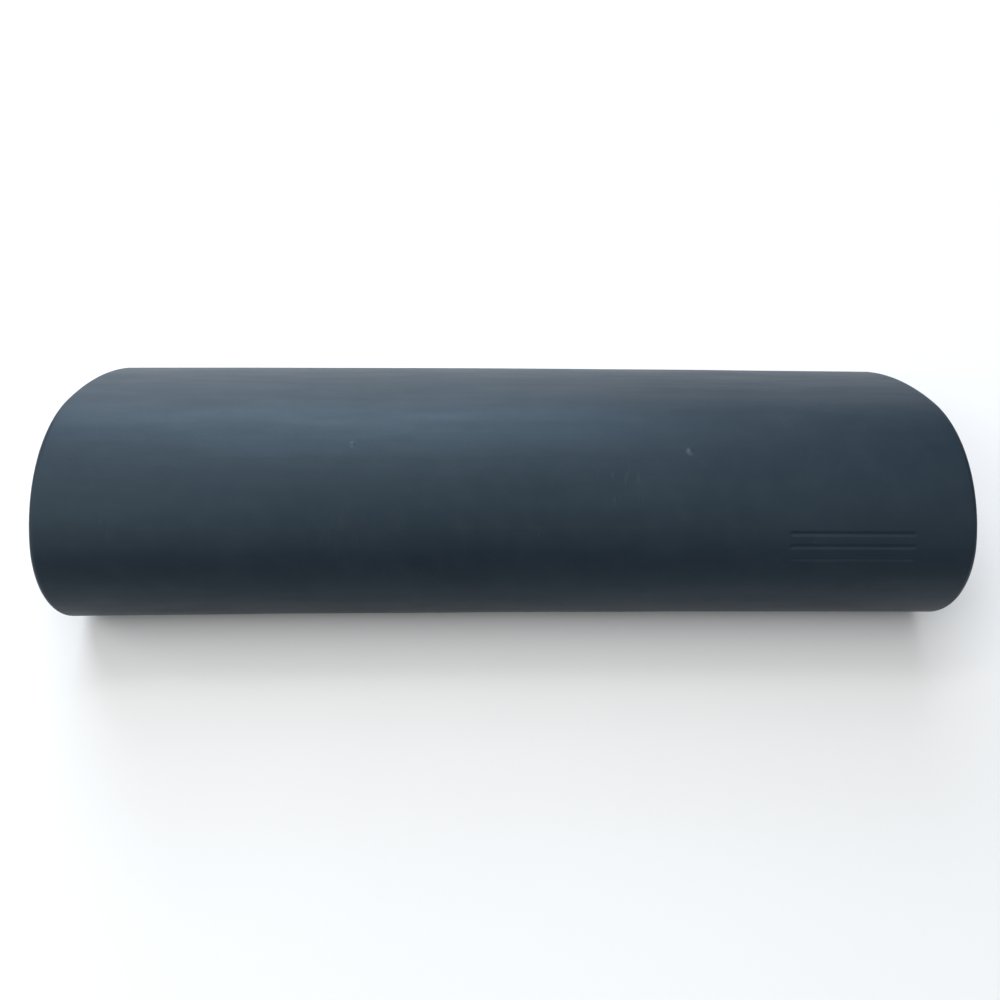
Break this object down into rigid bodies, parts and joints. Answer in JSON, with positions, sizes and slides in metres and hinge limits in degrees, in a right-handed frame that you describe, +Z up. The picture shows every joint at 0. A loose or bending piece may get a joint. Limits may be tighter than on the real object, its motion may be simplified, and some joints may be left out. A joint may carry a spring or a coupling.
{
  "type": "bolster pillow",
  "caption": "Long low bath and massage bolster pillow with a lopsided half-round section, a seamless dark moulded skin, flat ends and suction cups set into its flat base.",
  "frame": {"origin": "middle of the footprint, on the plane of the suction cups' rims, where the pillow rests", "axes": "+X along the pillow, -Y towards its round front, +Z up out of the crown"},
  "size_m": [0.38, 0.131, 0.067],
  "materials": {
    "skin": "matte",
    "foam": "matte",
    "plate": "satin",
    "socket": "satin",
    "cup": "satin"
  },
  "bodies": {
    "pillow": {"skin": "skin", "foam_core": "foam", "backing_plate": "plate", "cup_socket_front_left": "socket", "cup_socket_front_right": "socket", "cup_socket_back_left": "socket", "cup_socket_back_right": "socket"},
    "cup_front_left": {"suction_cup_front_left": "cup"},
    "cup_front_right": {"suction_cup_front_right": "cup"},
    "cup_back_left": {"suction_cup_back_left": "cup"},
    "cup_back_right": {"suction_cup_back_right": "cup"}
  },
  "joints": [
    {"name": "cup_front_left_turn", "type": "hinge", "parent": "pillow", "child": "cup_front_left", "pos_m": [-0.128, -0.02332, 0], "axis": [0, 0, 1], "continuous": true},
    {"name": "cup_front_right_turn", "type": "hinge", "parent": "pillow", "child": "cup_front_right", "pos_m": [0.128, -0.02332, 0], "axis": [0, 0, 1], "continuous": true},
    {"name": "cup_back_left_turn", "type": "hinge", "parent": "pillow", "child": "cup_back_left", "pos_m": [-0.128, 0.03068, 0], "axis": [0, 0, 1], "continuous": true},
    {"name": "cup_back_right_turn", "type": "hinge", "parent": "pillow", "child": "cup_back_right", "pos_m": [0.128, 0.03068, 0], "axis": [0, 0, 1], "continuous": true}
  ]
}
